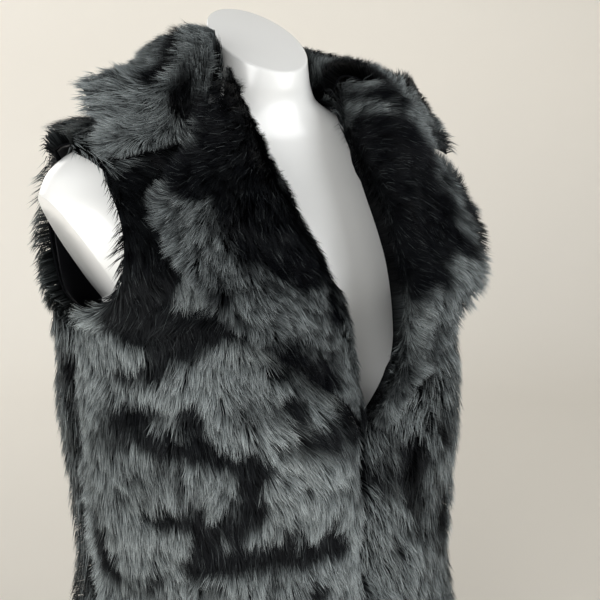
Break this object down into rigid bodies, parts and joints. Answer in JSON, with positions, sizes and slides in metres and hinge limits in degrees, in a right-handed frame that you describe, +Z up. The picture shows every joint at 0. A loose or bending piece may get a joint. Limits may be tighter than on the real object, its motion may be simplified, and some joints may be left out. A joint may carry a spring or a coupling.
{
  "type": "faux fur vest on a display torso form",
  "caption": "Sleeveless long-pile faux fur vest with a tall notched collar and wide lapels, worn by a white headless, armless display torso.",
  "frame": {"origin": "centre of the torso form's flat base, on the surface it stands on", "axes": "+Z up along the neck, the front faces -Y, the wearer's right is -X"},
  "size_m": [0.4062, 0.3418, 0.7913],
  "materials": {
    "faux_fur": "long soft pile, black and charcoal, slightly glossy strands",
    "satin_lining": "smooth satin",
    "white_plastic": "glossy white plastic"
  },
  "bodies": {
    "root": {"display_torso": "white_plastic", "lining_back": "satin_lining", "lining_left_front": "satin_lining", "lining_right_front": "satin_lining", "back_panel": "faux_fur", "left_front": "faux_fur", "right_front": "faux_fur", "left_lapel": "faux_fur", "right_lapel": "faux_fur", "collar": "faux_fur"}
  },
  "joints": []
}
